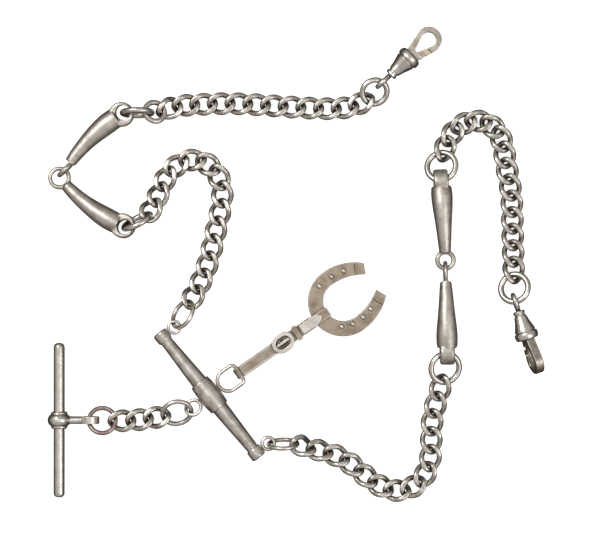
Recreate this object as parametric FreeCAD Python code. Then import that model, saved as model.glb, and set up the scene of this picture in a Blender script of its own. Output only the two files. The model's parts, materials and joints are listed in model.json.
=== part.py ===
import FreeCAD, Part
import math
import os

Vec = FreeCAD.Vector

# A gentleman's double watch chain in silver with harness themes. Millimetres, +Z up.
# It lies on a table at z = 0, spread out along X and Y, and each piece stands on its own.

# ---- driving dimensions ------------------------------------------------------------------
# curb link: a twisted oval of round wire
LINK_WIRE = 1.25
LINK_REACH = 2.78          # centre of the link to the centre of its end wire
LINK_HALF_WIDTH = 2.08     # centre of the link to the centre of its side wire
LINK_TWIST = -48.0         # tilt of each end wire, opposite ways at the two ends
LINK_SIDE_SLOPE = -38.0    # slope of the side wires where they cross the middle
LINK_EASE = 8.0            # extra slack in a bend, in mm, times the square of its curvature
LINK_REST = 1.45           # height of a lying link's centre
STANDING_BIT_RING = 4.1    # height of a bit ring's centre when it stands on edge

# round rings: (mean radius, wire diameter)
BIT_RING = (3.4, 1.35)
SMALL_RING = (2.325, 1.25)
DOG_RING_TOP = (2.925, 1.3)
DOG_RING_RIGHT = (3.275, 1.4)
UPPER_EYE_RING = (3.35, 1.0)
LOWER_EYE_RING = (3.35, 1.0)
TEE_RING = (3.35, 1.1)
TEE_END_RING = (3.1, 1.05)

# swingletree bar
TREE_CENTRE = Vec(-21.1, -28.6, 2.75)
TREE_ANGLE = -51.2
TREE_HALF = 18.7
TREE_ARM_RADIUS = (1.4, 1.9)       # at the ferrule, at the collar
COLLAR_HALF = 3.8
COLLAR_RADIUS = (2.3, 2.65)        # at the rims, in the middle
FERRULE_RADIUS = 1.85
FERRULE_LENGTH = 2.6
UPPER_EYE = (1.4, 0.7)
LOWER_EYE = (1.42, 0.84)
TEE_EYE = (1.85, 0.8)
TEE_EYE_TILT = -28.0
SOLDER = 0.12                      # how far a soldered piece's wire sinks into what it is on

# T-bar
TEE_CENTRE = Vec(-56.1, -34.5, 2.75)
TEE_HALF = 18.0
TEE_ROD_RADIUS = 1.3
TEE_COLLAR_RADIUS = 2.7
TEE_SHANK_RADIUS = 0.9
TEE_EYE_RADIUS = (2.2, 1.15)       # outside, hole
TEE_EYE_THICK = 1.7
TEE_EYE_AT = 7.15                  # from the rod's axis to the hole's axis

# bit cannon: one half of a jointed snaffle bit
CANNON_LENGTH = 17.0               # narrow end to the cross hole
CANNON_RADII = (1.35, 1.75, 2.2, 2.5, 2.35)
CANNON_STATIONS = (0.0, 4.5, 9.0, 12.8, 15.2)
CANNON_BULGE = 0.9                 # how far the bent body stands off its chord
LOBE_RADIUS = 2.9
LOBE_BEHIND = 0.6                  # the lobe's centre lies this far behind the hole
LOBE_HALF = 1.7
CROSS_HOLE_RADIUS = 1.72
FLAT_EYE = (2.2, 1.05)             # the cannon whose eye lies along its cross hole
TURNED_EYE = (1.9, 1.15)           # the cannon whose eye is turned a quarter

# dog clip: distances along its axis from the tip of the swivel eye
SWIVEL_EYE = (1.65, 1.15)
SWIVEL_CENTRE = 2.2
SHANK_RADIUS = 0.6
SHANK_HEAD_RADIUS = 1.15
BODY_START = 4.5
BODY_END = 11.4
HOOK_TIP = 19.7
HOOK_RADIUS = 3.05
HOOK_STRIP = 1.3
HOOK_HEIGHT = 2.0
GATE_END = 14.9
GATE_PIN = Vec(12.45, -1.72, 0)
GATE_PIN_RADIUS = 0.32
GATE_KNUCKLE_RADIUS = 0.92
PLAY = 0.08                        # gap between working faces

# fob: distances along its strap from the D ring's straight bar
D_RING_WIRE = 0.9
FOB_START = Vec(-14.2, -23.5, 2.75)
FOB_ANGLE = 34.6
STRAP_WIDTH = 2.9
STRAP_THICK = 1.1
STRAP_END = 21.0
KNUCKLE_RADIUS = 0.95
BUCKLE_AT = 12.5
KEEPER_AT = 16.4
TONGUE = (17.6, 23.6)
TONGUE_WIDTH = 2.3
SHOE_AT = 30.4
SHOE_THICK = 1.3
TOE_RADIUS = (8.2, 4.65)           # outside, inside
TOE_CENTRE = -0.95
HEEL_OUTER = (8.05, 4.6)
HEEL_INNER = (6.9, 2.15)
CALKIN_LENGTH = 2.3
CALKIN_HEIGHT = 0.5
NAIL_RADIUS = 0.62
NAIL_SEATS = ((-3.55, 6.0), (0.05, 6.2), (3.1, 5.75),
              (-4.6, -4.7), (-2.1, -5.6), (0.8, -5.7), (3.3, -5.1))


# ---- small helpers -----------------------------------------------------------------------
def unit(v):
    return v * (1.0 / v.Length)


def heading(angle, rise=0.0):
    a, r = math.radians(angle), math.radians(rise)
    return Vec(math.cos(a) * math.cos(r), math.sin(a) * math.cos(r), math.sin(r))


def frame_at(origin, x_dir, roll=0.0):
    """A place whose X runs along x_dir and whose Z is as near up as it can be, rolled about X."""
    x = unit(x_dir)
    y = unit(Vec(0, 0, 1).cross(x))
    turn = FreeCAD.Rotation(x, y, x.cross(y), "XZY")
    return FreeCAD.Placement(origin, turn * FreeCAD.Rotation(Vec(1, 0, 0), roll))


def placed(shape, place):
    moved = shape.copy()
    moved.Placement = place.multiply(moved.Placement)
    return moved


def fused(first, *others):
    return first.fuse(list(others)).removeSplitter()


def revolved(points, axis_point=Vec(0, 0, 0), axis=Vec(1, 0, 0)):
    """A solid of revolution about X from (x, radius) points, a closed polygon."""
    corners = [Vec(x, r, 0) for x, r in points]
    face = Part.Face(Part.makePolygon(corners + corners[:1]))
    return face.revolve(axis_point, axis, 360)


def ring(size, normal=Vec(0, 0, 1), centre=Vec(0, 0, 0)):
    return Part.makeTorus(size[0], size[1] / 2, centre, normal)


def level_across(along):
    return unit(Vec(0, 0, 1).cross(along))


def box(x0, x1, y0, y1, z0, z1):
    return Part.makeBox(x1 - x0, y1 - y0, z1 - z0, Vec(x0, y0, z0))


# ---- curb link ---------------------------------------------------------------------------
def wire_arc(start, tangent, end, wire):
    """A round wire bent along the one arc that leaves start along tangent and meets end.
    Gives the solid and the direction in which the wire leaves it."""
    chord = end - start
    normal = unit(tangent.cross(chord))
    side = normal.cross(tangent)
    radius = chord.dot(chord) / (2 * chord.dot(side))
    sweep = 2 * tangent.getAngle(chord)
    disk = Part.Face(Part.Wire(Part.Circle(start, tangent, wire / 2).toShape()))
    bent = disk.revolve(start + side * radius, normal, math.degrees(sweep))
    return bent, FreeCAD.Rotation(normal, math.degrees(sweep)).multVec(tangent)


def curb_link():
    """A quarter of the link is two tangent arcs, and half turns about X, Y and Z give the rest."""
    twist, slope = math.radians(LINK_TWIST), math.radians(LINK_SIDE_SLOPE)
    end, side = Vec(LINK_REACH, 0, 0), Vec(0, LINK_HALF_WIDTH, 0)
    leaves = Vec(0, math.cos(twist), math.sin(twist))
    meets = Vec(-math.cos(slope), 0, -math.sin(slope))
    both, across = leaves + meets, side - end
    a, b = 2 * (leaves.dot(meets) - 1), -2 * across.dot(both)
    reach = (-b - math.sqrt(b * b - 4 * a * across.dot(across))) / (2 * a)
    middle = (end + leaves * reach + side - meets * reach) * 0.5
    first, onward = wire_arc(end, leaves, middle, LINK_WIRE)
    second, _ = wire_arc(middle, onward, side, LINK_WIRE)
    arcs = [first, second]
    for axis in (Vec(1, 0, 0), Vec(0, 1, 0), Vec(0, 0, 1)):
        for arc in (first, second):
            turned = arc.copy()
            turned.rotate(Vec(0, 0, 0), axis, 180)
            arcs.append(turned)
    return fused(*arcs).Solids[0]


# ---- laying a run of chain ---------------------------------------------------------------
class Piece:
    """One link or ring of a run: reach is from its centre to the centre of its end wire."""

    def __init__(self, node, reach, wire, roll):
        self.node, self.reach, self.wire, self.roll = node, reach, wire, roll


def ring_piece(node, size, roll=0.0):
    return Piece(node, size[0], size[1], roll)


def link_pieces(name, groups, rolls):
    """Links in groups, each group a node: groups is how many links each node holds."""
    nodes = [f"{name}_{g + 1}" for g, count in enumerate(groups) for _ in range(count)]
    return [Piece(node, LINK_REACH, LINK_WIRE, roll) for node, roll in zip(nodes, rolls)]


def step_along(curve, t, distance):
    """The next parameter at a straight distance from the point at t, past the end if need be."""
    last = curve.LastParameter
    tail = unit(curve.tangent(last)[0])

    def point(u):
        return curve.value(u) if u <= last else curve.value(last) + tail * ((u - last) * 10)

    here, low = point(t), t
    high = t
    while point(high).distanceToPoint(here) < distance:
        low, high = high, high + 0.004
    for _ in range(40):
        mid = (low + high) / 2
        if point(mid).distanceToPoint(here) < distance:
            low = mid
        else:
            high = mid
    return high, point(high)


def lay_run(points, pieces, wire_before, wire_after):
    """Walks the pieces along a smooth curve through points. The slack between pieces is the one
    that ends the run at the last point. Gives each piece's place, the contact points and the slack."""
    curve = Part.BSplineCurve()
    curve.interpolate(points)
    curve.scaleKnotsToBounds(0, 1)
    wires = [wire_before] + [p.wire for p in pieces] + [wire_after]

    def walk(slack):
        t, contacts, before = 0.0, [curve.value(0)], (wires[0] + wires[1]) / 2 + slack
        befores = [before]
        for i, piece in enumerate(pieces):
            after = (wires[i + 1] + wires[i + 2]) / 2 + slack
            near, _ = step_along(curve, t, 2 * piece.reach - (before + after) / 2)
            after += min(LINK_EASE * curve.curvature(min(near, 1.0)) ** 2, 0.35)
            t, point = step_along(curve, t, 2 * piece.reach - (before + after) / 2)
            contacts.append(point)
            before = after
            befores.append(before)
        return t, contacts, befores

    low, high = -0.5, 1.0
    for _ in range(30):
        slack = (low + high) / 2
        t, contacts, befores = walk(slack)
        low, high = (slack, high) if t > 1 else (low, slack)
    places = []
    for i, piece in enumerate(pieces):
        along = unit(contacts[i + 1] - contacts[i])
        centre = contacts[i] + along * (piece.reach - befores[i] / 2)
        places.append(frame_at(centre, along, piece.roll))
    return places, contacts, slack


# ---- swingletree bar ---------------------------------------------------------------------
TREE_ALONG = heading(TREE_ANGLE)
TREE_SIDE = heading(TREE_ANGLE + 90)


def tree_place():
    return frame_at(TREE_CENTRE, TREE_ALONG)


def tree_bar():
    tip = TREE_HALF - 0.6
    thin, thick = TREE_ARM_RADIUS
    seat = TREE_HALF - FERRULE_LENGTH
    half = [(tip, 0), (tip, thin), (seat, thin), (COLLAR_HALF, thick)]
    mirrored = [(-x, r) for x, r in reversed(half)]
    return revolved(half + mirrored)


def tree_collar():
    rim, middle = COLLAR_RADIUS
    bore = TREE_ARM_RADIUS[1]
    steps = 8
    outer = []
    for i in range(steps + 1):
        share = 2.0 * i / steps - 1
        outer.append((COLLAR_HALF * share, rim + (middle - rim) * (1 - share * share)))
    return revolved(outer + [(COLLAR_HALF, bore), (-COLLAR_HALF, bore)])


def tree_ferrules():
    inner = TREE_HALF - FERRULE_LENGTH
    bore, round_off = TREE_ARM_RADIUS[0], 0.45
    profile = [(inner, bore), (inner, FERRULE_RADIUS - 0.1), (inner + 0.25, FERRULE_RADIUS),
               (TREE_HALF - round_off, FERRULE_RADIUS), (TREE_HALF - 0.13, FERRULE_RADIUS - 0.18),
               (TREE_HALF, FERRULE_RADIUS - round_off), (TREE_HALF, 0),
               (TREE_HALF - 0.6, 0), (TREE_HALF - 0.6, bore)]
    one = revolved(profile)
    other = revolved([(-x, r) for x, r in profile])
    return Part.makeCompound([one, other])


def eye_centres():
    """Where the three soldered eyes stand off the bar, in the bar's frame."""
    at_end = TREE_HALF - FERRULE_LENGTH / 2
    upper = FERRULE_RADIUS + UPPER_EYE[0] + UPPER_EYE[1] / 2 - SOLDER
    lower = FERRULE_RADIUS + LOWER_EYE[0] + LOWER_EYE[1] / 2 - SOLDER
    tee = COLLAR_RADIUS[1] + TEE_EYE[0] + TEE_EYE[1] / 2 - SOLDER
    return Vec(-at_end, upper, 0), Vec(at_end, lower, 0), Vec(0, -tee, 0)


def tree_eyes():
    upper, lower, tee = eye_centres()
    collar = revolved([(-COLLAR_HALF, 0), (-COLLAR_HALF, COLLAR_RADIUS[1]),
                       (COLLAR_HALF, COLLAR_RADIUS[1]), (COLLAR_HALF, 0)])
    ends = revolved([(-TREE_HALF, 0), (-TREE_HALF, FERRULE_RADIUS),
                     (TREE_HALF, FERRULE_RADIUS), (TREE_HALF, 0)])
    tilt = FreeCAD.Placement(tee, FreeCAD.Rotation(Vec(0, 1, 0), TEE_EYE_TILT))
    tee_eye = placed(ring(TEE_EYE), tilt)
    eyes = [ring(UPPER_EYE, centre=upper).cut(ends), ring(LOWER_EYE, centre=lower).cut(ends),
            tee_eye.cut(collar)]
    return Part.makeCompound([e.Solids[0] for e in eyes])


def d_ring():
    """A closed D of wire in the strap's frame: its straight bar lies along Y at the origin, and
    its bow reaches back to the collar."""
    half, corner, bow = 2.5, 0.9, 2.5
    back = D_RING_BACK
    leg = back - bow - corner
    path = [Part.LineSegment(Vec(0, -half + corner, 0), Vec(0, half - corner, 0)).toShape(),
            Part.Arc(Vec(0, half - corner, 0),
                     Vec(-corner * (1 - math.sqrt(0.5)), half - corner * (1 - math.sqrt(0.5)), 0),
                     Vec(-corner, half, 0)).toShape(),
            Part.LineSegment(Vec(-corner, half, 0), Vec(-corner - leg, half, 0)).toShape(),
            Part.Arc(Vec(-corner - leg, half, 0), Vec(-back, 0, 0),
                     Vec(-corner - leg, -half, 0)).toShape(),
            Part.LineSegment(Vec(-corner - leg, -half, 0), Vec(-corner, -half, 0)).toShape(),
            Part.Arc(Vec(-corner, -half, 0),
                     Vec(-corner * (1 - math.sqrt(0.5)), -half + corner * (1 - math.sqrt(0.5)), 0),
                     Vec(0, -half + corner, 0)).toShape()]
    section = Part.Wire(Part.Circle(Vec(0, 0, 0), Vec(0, 1, 0), D_RING_WIRE / 2).toShape())
    bent = Part.Wire(path).makePipeShell([section], True, False)
    return Part.Solid(bent) if bent.ShapeType != "Solid" else bent


def collar_gap():
    """From the D ring's straight bar back to the collar's surface, along the strap."""
    off = FOB_START - TREE_CENTRE
    return (off.dot(TREE_SIDE) - COLLAR_RADIUS[1]) / heading(FOB_ANGLE).dot(TREE_SIDE)


D_RING_BACK = collar_gap() - D_RING_WIRE / 2 + SOLDER


# ---- horseshoe fob -----------------------------------------------------------------------
def fob_place():
    return frame_at(FOB_START, heading(FOB_ANGLE))


def fob_strap():
    """A knuckle around the D ring's bar, the strap, and a band wrapped around the shoe's toe."""
    half_w, half_t = STRAP_WIDTH / 2, STRAP_THICK / 2
    knuckle_half = half_w - 0.15
    knuckle = Part.makeCylinder(KNUCKLE_RADIUS, 2 * knuckle_half, Vec(0, -knuckle_half, 0), Vec(0, 1, 0))
    web = box(0, STRAP_END, -half_w, half_w, -half_t, half_t)
    web = web.cut(box(-1, KNUCKLE_RADIUS * 0.6, -half_w, half_w, -half_t, half_t))
    rims = [box(1.0, BUCKLE_AT - 2.85, side - 0.22, side + 0.22, half_t, half_t + 0.3)
            for side in (half_w - 0.22, 0.22 - half_w)]
    toe = SHOE_AT + TOE_CENTRE - TOE_RADIUS[0]
    inside = SHOE_AT + TOE_CENTRE - TOE_RADIUS[1]
    wrap_half = TONGUE_WIDTH / 2
    skin, over = 0.6, SHOE_THICK / 2
    wrap = box(toe - 1.0, inside + skin, -wrap_half, wrap_half, -over - skin, over + skin)
    wrap = wrap.cut(box(toe - 0.05, inside + 0.17, -wrap_half, wrap_half, -over, over))
    tube = fused(knuckle, web, wrap, *rims)
    bore = Part.makeCylinder(D_RING_WIRE / 2 + PLAY, 2 * half_w, Vec(0, -half_w, 0), Vec(0, 1, 0))
    return tube.cut(bore).removeSplitter()


def oval(length, width, height, z0):
    """An upright oval block: two half rounds joined by straights."""
    r, run = width / 2, (length - width) / 2
    shape = box(-run, run, -r, r, z0, z0 + height)
    for x in (-run, run):
        shape = shape.fuse(Part.makeCylinder(r, height, Vec(x, 0, z0)))
    return shape.removeSplitter()


def fob_buckle():
    top = STRAP_THICK / 2
    frame = oval(5.6, 4.5, 0.75, top).cut(oval(3.6, 2.5, 2.0, top - 0.5))
    frame.translate(Vec(BUCKLE_AT, 0, 0))
    return frame


def fob_prong():
    top = STRAP_THICK / 2
    return box(BUCKLE_AT - 1.72, BUCKLE_AT + 1.72, -0.28, 0.28, top, top + 0.5)


def fob_keeper():
    half_w, half_t = STRAP_WIDTH / 2, STRAP_THICK / 2
    outer = box(KEEPER_AT - 0.6, KEEPER_AT + 0.6, -half_w - 0.4, half_w + 0.4, -half_t - 0.4, half_t + 0.55)
    return outer.cut(box(KEEPER_AT - 1, KEEPER_AT + 1, -half_w, half_w, -half_t, half_t))


def fob_tongue():
    """The strap's free end: a pointed tip that lies on the strap and over the toe band."""
    start, tip = TONGUE
    half, z = TONGUE_WIDTH / 2, SHOE_THICK / 2 + 0.6
    toe_band = SHOE_AT + TOE_CENTRE - TOE_RADIUS[0] - 1.0
    outline = [Vec(start, -half, z), Vec(tip - 1.9, -half, z), Vec(tip, -half * 0.1, z),
               Vec(tip - 1.0, half, z), Vec(start, half, z)]
    tip_plate = Part.Face(Part.makePolygon(outline + outline[:1])).extrude(Vec(0, 0, 0.35))
    fill = box(start, toe_band, -half, half, STRAP_THICK / 2, z)
    return fused(tip_plate, fill)


def tangent_arc(start, end, tangent_dir):
    """The arc that leaves start along tangent_dir and meets end."""
    chord = end - start
    normal = unit(tangent_dir.cross(chord))
    side = normal.cross(tangent_dir)
    radius = chord.dot(chord) / (2 * chord.dot(side))
    centre = start + side * radius
    half = FreeCAD.Rotation(normal, math.degrees(tangent_dir.getAngle(chord)))
    return Part.Arc(start, centre + half.multVec(start - centre), end).toShape()


def shoe_outline():
    """The shoe's edge in its own frame, +X out of its mouth: two toe arcs and four arm arcs."""
    (outer, inner), c, along = TOE_RADIUS, TOE_CENTRE, Vec(1, 0, 0)
    edges = []
    for radius, heel in ((outer, HEEL_OUTER), (inner, HEEL_INNER)):
        left, right = Vec(c, radius, 0), Vec(c, -radius, 0)
        edges.append(Part.Arc(left, Vec(c - radius, 0, 0), right).toShape())
        edges.append(tangent_arc(left, Vec(heel[0], heel[1], 0), along))
        edges.append(tangent_arc(right, Vec(heel[0], -heel[1], 0), along))
    for side in (1, -1):
        edges.append(Part.LineSegment(Vec(HEEL_OUTER[0], side * HEEL_OUTER[1], 0),
                                      Vec(HEEL_INNER[0], side * HEEL_INNER[1], 0)).toShape())
    return Part.Wire(Part.__sortEdges__(edges))


def horseshoe():
    plate = Part.Face(shoe_outline()).extrude(Vec(0, 0, SHOE_THICK))
    plate.translate(Vec(0, 0, -SHOE_THICK / 2))
    heels = Part.Face(shoe_outline()).extrude(Vec(0, 0, CALKIN_HEIGHT))
    heels.translate(Vec(0, 0, SHOE_THICK / 2))
    keep = []
    for side in (1, -1):
        corner = Vec((HEEL_OUTER[0] + HEEL_INNER[0]) / 2, side * (HEEL_OUTER[1] + HEEL_INNER[1]) / 2, 0)
        face = Vec(HEEL_OUTER[0] - HEEL_INNER[0], side * (HEEL_OUTER[1] - HEEL_INNER[1]), 0)
        square = box(-CALKIN_LENGTH, 3, -4, 4, -2, 2)
        turn = math.degrees(math.atan2(face.y, face.x)) - side * 90
        square.Placement = FreeCAD.Placement(corner, FreeCAD.Rotation(Vec(0, 0, 1), turn))
        keep.append(heels.common(square))
    shoe = fused(plate, *keep).Solids[0]
    return placed(shoe, FreeCAD.Placement(Vec(SHOE_AT, 0, 0), FreeCAD.Rotation()))


def horseshoe_nails():
    heads = []
    for x, y in NAIL_SEATS:
        seat = Vec(SHOE_AT + x, y, SHOE_THICK / 2)
        heads.append(Part.makeSphere(NAIL_RADIUS, seat, Vec(0, 0, 1), 0, 90, 360))
    return Part.makeCompound(heads)


# ---- T-bar -------------------------------------------------------------------------------
def tee_place():
    return frame_at(TEE_CENTRE, Vec(0, 1, 0))


def tee_rod():
    r, flat = TEE_ROD_RADIUS, TEE_HALF - 0.9
    points = [(-TEE_HALF, 0)]
    for i in range(5):
        a = math.radians(90 * (1 - i / 4))
        points.append((-flat - 0.9 * math.sin(a), r - 0.9 + 0.9 * math.cos(a)))
    mirrored = [(-x, y) for x, y in reversed(points)]
    return revolved(points + mirrored)


def tee_collar():
    """A turned bead with a flange each side, sleeved on the rod, and a shank with a cross eye."""
    bore, r = TEE_ROD_RADIUS, TEE_COLLAR_RADIUS
    bead = revolved([(-2.0, bore), (-2.0, 1.65), (-1.75, 1.9), (-1.4, 1.9), (-1.3, 2.1), (-0.9, 2.45),
                     (-0.35, r), (0.35, r), (0.9, 2.45), (1.3, 2.1), (1.4, 1.9), (1.75, 1.9),
                     (2.0, 1.65), (2.0, bore)])
    outer, hole = TEE_EYE_RADIUS
    shank = Part.makeCylinder(TEE_SHANK_RADIUS, TEE_EYE_AT - 1.9, Vec(0, -1.9, 0), Vec(0, -1, 0))
    boss = Part.makeCylinder(outer, TEE_EYE_THICK, Vec(-TEE_EYE_THICK / 2, -TEE_EYE_AT, 0), Vec(1, 0, 0))
    solid = fused(bead, shank, boss)
    bored = Part.makeCylinder(hole, 4, Vec(-2, -TEE_EYE_AT, 0), Vec(1, 0, 0))
    return solid.cut(bored).removeSplitter().Solids[0]


# ---- bit cannons -------------------------------------------------------------------------
def cannon(eye_turned):
    """X runs from the narrow end to the cross hole, whose axis is Z. The body bends towards +Y.
    Its eye lies flat around Z, or is turned a quarter into the XZ plane."""
    sections = []
    for x, r in zip(CANNON_STATIONS, CANNON_RADII):
        share = x / CANNON_LENGTH
        y = 4 * CANNON_BULGE * share * (1 - share)
        slope = 4 * CANNON_BULGE * (1 - 2 * share) / CANNON_LENGTH
        sections.append(Part.Wire(Part.Circle(Vec(x, y, 0), unit(Vec(1, slope, 0)), r).toShape()))
    body = Part.makeLoft(sections, True, False)
    middle = Vec(CANNON_LENGTH - LOBE_BEHIND, 0, 0)
    lobe = Part.makeCylinder(LOBE_RADIUS, 2 * LOBE_HALF, middle - Vec(0, 0, LOBE_HALF))
    lobe = lobe.common(Part.makeSphere(LOBE_RADIUS + 0.25, middle))
    hole = Part.makeCylinder(CROSS_HOLE_RADIUS, 8, Vec(CANNON_LENGTH, 0, -4))
    eye = eye_of_cannon(eye_turned)
    size = TURNED_EYE if eye_turned else FLAT_EYE
    loop = ring(size, Vec(0, 1, 0) if eye_turned else Vec(0, 0, 1), eye)
    return fused(body, lobe, loop).cut(hole).removeSplitter().Solids[0]


def eye_of_cannon(eye_turned):
    """The eye's centre, on the line along which the bent body leaves its narrow end."""
    back = (TURNED_EYE if eye_turned else FLAT_EYE)[0]
    slope = 4 * CANNON_BULGE / CANNON_LENGTH
    return unit(Vec(-1, -slope, 0)) * (back + 0.05)


def cannon_place(eye_at, x_dir, z_dir, eye_turned):
    """Places a cannon by its eye's centre, with X along x_dir and Z near z_dir."""
    x = unit(x_dir)
    y = unit(z_dir.cross(x))
    turn = FreeCAD.Rotation(x, y, x.cross(y), "XZY")
    return FreeCAD.Placement(eye_at - turn.multVec(eye_of_cannon(eye_turned)), turn)


# ---- dog clips ---------------------------------------------------------------------------
def swivel_eye():
    centre = Vec(SWIVEL_CENTRE, 0, 0)
    eye = ring(SWIVEL_EYE, Vec(0, 1, 0), centre)
    start = SWIVEL_CENTRE + SWIVEL_EYE[0]
    shank = Part.makeCylinder(SHANK_RADIUS, 7.0 - start, Vec(start, 0, 0), Vec(1, 0, 0))
    head = Part.makeCylinder(SHANK_HEAD_RADIUS, 0.7, Vec(6.6, 0, 0), Vec(1, 0, 0))
    return fused(eye, shank, head).Solids[0]


def clip_body():
    bore, cavity = SHANK_RADIUS + PLAY, SHANK_HEAD_RADIUS + 0.15
    return revolved([(BODY_START, bore), (BODY_START, 1.25), (4.65, 1.4), (5.15, 1.4), (5.3, 1.2),
                     (5.6, 1.2), (5.75, 1.45), (7.0, 1.72), (8.2, 2.12), (9.3, 2.5), (9.4, 2.3),
                     (9.55, 2.3), (9.65, 2.6), (9.9, 2.76), (10.5, 2.8), (11.1, 2.66),
                     (BODY_END, 2.3), (BODY_END, 0), (7.6, 0), (7.6, cavity), (6.5, cavity),
                     (6.5, bore)])


def loop_outline(tip_radius, base_x, base_radius):
    """A teardrop: a tip round and a base round joined by their outer tangents."""
    tip_x = HOOK_TIP - HOOK_RADIUS
    lean = math.acos((tip_radius - base_radius) / (tip_x - base_x))
    edges, ends = [], []
    for x, r, through in ((tip_x, tip_radius, 1), (base_x, base_radius, -1)):
        up = Vec(x - r * math.cos(lean), r * math.sin(lean), 0)
        down = Vec(up.x, -up.y, 0)
        edges.append(Part.Arc(up, Vec(x + through * r, 0, 0), down).toShape())
        ends.append((up, down))
    for a, b in zip(ends[0], ends[1]):
        edges.append(Part.LineSegment(a, b).toShape())
    return Part.Face(Part.Wire(Part.__sortEdges__(edges)))


def whole_loop():
    outside = loop_outline(HOOK_RADIUS, 11.6, 1.85)
    inside = loop_outline(HOOK_RADIUS - HOOK_STRIP, 13.0, 0.5)
    loop = outside.cut(inside).extrude(Vec(0, 0, HOOK_HEIGHT))
    loop.translate(Vec(0, 0, -HOOK_HEIGHT / 2))
    return loop.cut(box(0, BODY_END, -5, 5, -5, 5))


def clip_hook():
    """The loop without its gate, with two ears that hold the gate's pin."""
    loop = whole_loop()
    window = box(BODY_END, GATE_END + 2 * PLAY, -5, -0.25, -5, 5)
    ear_gap = box(BODY_END, 14, -5, 5, -0.6, 0.6)
    ears = loop.common(box(BODY_END, GATE_PIN.x + 0.55, -5, -0.25, -5, 5)).cut(ear_gap)
    holes = Part.makeCylinder(GATE_PIN_RADIUS, 6, GATE_PIN - Vec(0, 0, 3))
    return fused(loop.cut(window), ears).cut(holes).Solids[0]


def clip_gate():
    """The sprung gate: one strand of the loop, with a thin knuckle between the hook's ears."""
    knuckle = Part.makeCylinder(GATE_KNUCKLE_RADIUS, 6, GATE_PIN - Vec(0, 0, 3))
    arm = box(GATE_PIN.x, GATE_END, -5, -0.55, -5, 5)
    strand = whole_loop().common(fused(knuckle, arm))
    reach = GATE_PIN.x + 1.15
    for z0, z1 in ((0.52, 5), (-5, -0.52)):
        strand = strand.cut(box(0, reach, -5, 5, z0, z1))
    hole = Part.makeCylinder(GATE_PIN_RADIUS + 0.04, 6, GATE_PIN - Vec(0, 0, 3))
    return strand.cut(hole).Solids[0]


def gate_pin():
    return Part.makeCylinder(GATE_PIN_RADIUS, HOOK_HEIGHT, GATE_PIN - Vec(0, 0, HOOK_HEIGHT / 2))


# ---- the whole chain ---------------------------------------------------------------------
NODES, BODIES, JOINTS, SLACKS = {}, {}, [], {}


def add(node, shape, body=None):
    NODES.setdefault(node, []).append(shape)
    members = BODIES.setdefault(body or node, [])
    if node not in members:
        members.append(node)


def joint(name, parent, child, point, axis, kind="flex"):
    JOINTS.append({"name": name, "parent": parent, "child": child, "pos": point, "axis": axis,
                   "kind": kind})


def add_run(points, pieces, last, start_wire, end_wire):
    """Adds a run's pieces, and a hinge wherever a new node starts. Each hinge lies level across the
    run, where the two wires bear on each other, and neighbours turn opposite ways, so that the run
    folds up off the table. Gives the last node, its place, and the last two contact points."""
    places, contacts, slack = lay_run(points, pieces, start_wire, end_wire)
    SLACKS[pieces[0].node] = slack
    link = curb_link()
    turn = 1
    for i, (piece, place) in enumerate(zip(pieces, places)):
        is_link = piece.reach == LINK_REACH
        shape = link if is_link else ring((piece.reach, piece.wire))
        add(piece.node, placed(shape, place))
        if piece.node != last:
            across = level_across(place.Rotation.multVec(Vec(1, 0, 0)))
            joint(f"{piece.node}_hinge", last, piece.node, contacts[i], across * turn)
            last, turn = piece.node, -turn
    return last, places[-1], contacts[-2:]


def tree_and_fob():
    place = tree_place()
    add("tree_bar", placed(tree_bar(), place), "swingletree")
    add("tree_collar", placed(tree_collar(), place), "swingletree")
    add("tree_ferrules", placed(tree_ferrules(), place), "swingletree")
    add("tree_eyes", placed(tree_eyes(), place), "swingletree")
    fob = fob_place()
    collar = placed(revolved([(-COLLAR_HALF, 0), (-COLLAR_HALF, COLLAR_RADIUS[1]),
                              (COLLAR_HALF, COLLAR_RADIUS[1]), (COLLAR_HALF, 0)]), place)
    add("fob_d_ring", placed(d_ring(), fob).cut(collar).Solids[0], "swingletree")
    for node, make in (("fob_strap", fob_strap), ("fob_buckle", fob_buckle), ("fob_prong", fob_prong),
                       ("fob_keeper", fob_keeper), ("fob_tongue", fob_tongue),
                       ("horseshoe", horseshoe), ("horseshoe_nails", horseshoe_nails)):
        add(node, placed(make(), fob), "fob")
    joint("fob_swing", "swingletree", "fob", FOB_START, heading(FOB_ANGLE + 90), "fob")


def add_clip(name, tip, x_dir, body_roll, last, ring_wire_at):
    """A dog clip by the tip of its swivel eye: the eye folds about the ring's wire, the body turns
    on the eye's shank, and the gate opens inwards on its pin."""
    upright = frame_at(tip, x_dir)
    turned = frame_at(tip, x_dir, body_roll)
    add(f"{name}_swivel_eye", placed(swivel_eye(), upright))
    add(f"{name}_body", placed(clip_body(), turned))
    add(f"{name}_hook", placed(clip_hook(), turned), f"{name}_body")
    add(f"{name}_gate_pin", placed(gate_pin(), turned), f"{name}_body")
    add(f"{name}_gate", placed(clip_gate(), turned))
    along = upright.Rotation.multVec(Vec(1, 0, 0))
    across = upright.Rotation.multVec(Vec(0, 1, 0))
    joint(f"{name}_fold", last, f"{name}_swivel_eye", ring_wire_at, across, "fold")
    joint(f"{name}_swivel", f"{name}_swivel_eye", f"{name}_body", upright.multVec(Vec(6, 0, 0)),
          along, "swivel")
    joint(f"{name}_gate_swing", f"{name}_body", f"{name}_gate", turned.multVec(GATE_PIN),
          turned.Rotation.multVec(Vec(0, 0, 1)), "gate")


def hole_of(place):
    return place.multVec(Vec(CANNON_LENGTH, 0, 0))


def wire_contact(centre, along, reach, wire_a, wire_b, slack=0.25):
    """Where two wires touch, when the first one's centre and reach are given."""
    return centre + unit(along) * (reach - (wire_a + wire_b) / 4 - slack / 2)


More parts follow.
